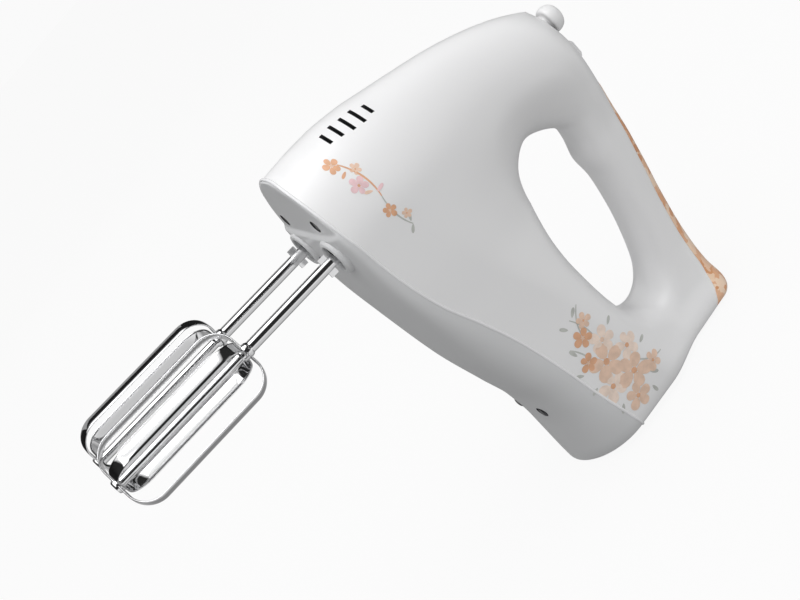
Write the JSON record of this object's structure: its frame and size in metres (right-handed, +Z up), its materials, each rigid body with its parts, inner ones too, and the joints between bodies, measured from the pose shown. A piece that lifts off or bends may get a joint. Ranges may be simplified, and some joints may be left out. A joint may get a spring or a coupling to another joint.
{
  "type": "hand mixer",
  "caption": "Hand mixer with a moulded loop handle, a thumb switch, an eject button and wire beaters that turn opposite ways, standing on its heel.",
  "frame": {"origin": "centre of the flat heel face that the mixer stands on, on the mid-plane", "axes": "+Z up from the counter, from the heel toward the nose; +X toward the handle, away from the beaters; +Y toward the right flank. The beaters point along -X, 5.5 degrees above level."},
  "size_m": [0.3059, 0.0762, 0.2228],
  "materials": {
    "white_gloss": "gloss",
    "grey_plastic": "satin",
    "orange_plastic": "mottled floral print",
    "chrome": "polished",
    "steel": "plain",
    "laminated_iron": "laminated",
    "copper": null,
    "brass": "plain",
    "nylon": "natural nylon",
    "black_plastic": "moulded",
    "carbon": "carbon",
    "board": "printed board",
    "rubber": "moulded"
  },
  "bodies": {
    "body": {"main_housing": "white_gloss", "sole_cover": "grey_plastic", "handle_cover": "orange_plastic", "eject_spring": "steel", "spring_seat": "black_plastic", "switch_block": "black_plastic", "stator_core": "laminated_iron", "field_coil_upper": "copper", "field_coil_lower": "copper", "brush_holder_left": "brass", "brush_holder_right": "brass", "carbon_brush_left": "carbon", "carbon_brush_right": "carbon", "brush_spring_left": "steel", "brush_spring_right": "steel", "rear_bracket": "black_plastic", "bearing_rear": "brass", "bearing_front": "brass", "gear_case": "black_plastic", "gear_case_lid": "black_plastic", "circuit_board": "board", "capacitor": "orange_plastic", "choke": "laminated_iron", "cord_gland": "rubber", "cord_clamp": "black_plastic", "sole_screw_1": "steel", "sole_screw_2": "steel", "sole_screw_3": "steel", "sole_screw_4": "steel"},
    "armature": {"worm_shaft": "steel", "armature_core": "laminated_iron", "commutator": "copper", "cooling_fan": "black_plastic"},
    "spindle_left": {"spindle_left": "nylon"},
    "spindle_right": {"spindle_right": "nylon"},
    "beater_left": {"beater_left": "chrome"},
    "beater_right": {"beater_right": "chrome"},
    "eject": {"eject_button": "white_gloss", "eject_yoke": "black_plastic"},
    "switch": {"speed_switch": "white_gloss"}
  },
  "joints": [
    {"name": "motor_spin", "type": "hinge", "parent": "body", "child": "armature", "pos_m": [-0.02309, 0, 0.13584], "axis": [0.0958, 0, 0.9954], "continuous": true},
    {"name": "spindle_left_spin", "type": "hinge", "parent": "body", "child": "spindle_left", "pos_m": [-0.0531, -0.02, 0.17891], "axis": [0.9954, 0, -0.0958], "continuous": true},
    {"name": "spindle_right_spin", "type": "hinge", "parent": "body", "child": "spindle_right", "pos_m": [-0.0531, 0.02, 0.17891], "axis": [0.9954, 0, -0.0958], "continuous": true},
    {"name": "beater_left_pull", "type": "slide", "parent": "spindle_left", "child": "beater_left", "axis": [-0.9954, 0, 0.0958], "range_m": [0, 0.03]},
    {"name": "beater_right_pull", "type": "slide", "parent": "spindle_right", "child": "beater_right", "axis": [-0.9954, 0, 0.0958], "range_m": [0, 0.03]},
    {"name": "eject_press", "type": "slide", "parent": "body", "child": "eject", "axis": [-0.9954, 0, 0.0958], "range_m": [0, 0.004], "stiffness_N_per_m": 400, "springref_m": -0.002},
    {"name": "speed_slide", "type": "slide", "parent": "body", "child": "switch", "axis": [-0.0958, 0, -0.9954], "range_m": [0, 0.0105]}
  ],
  "couplings": [
    {"joint": "spindle_left_spin", "follows": "motor_spin", "ratio": -0.071429},
    {"joint": "spindle_right_spin", "follows": "motor_spin", "ratio": 0.071429}
  ]
}
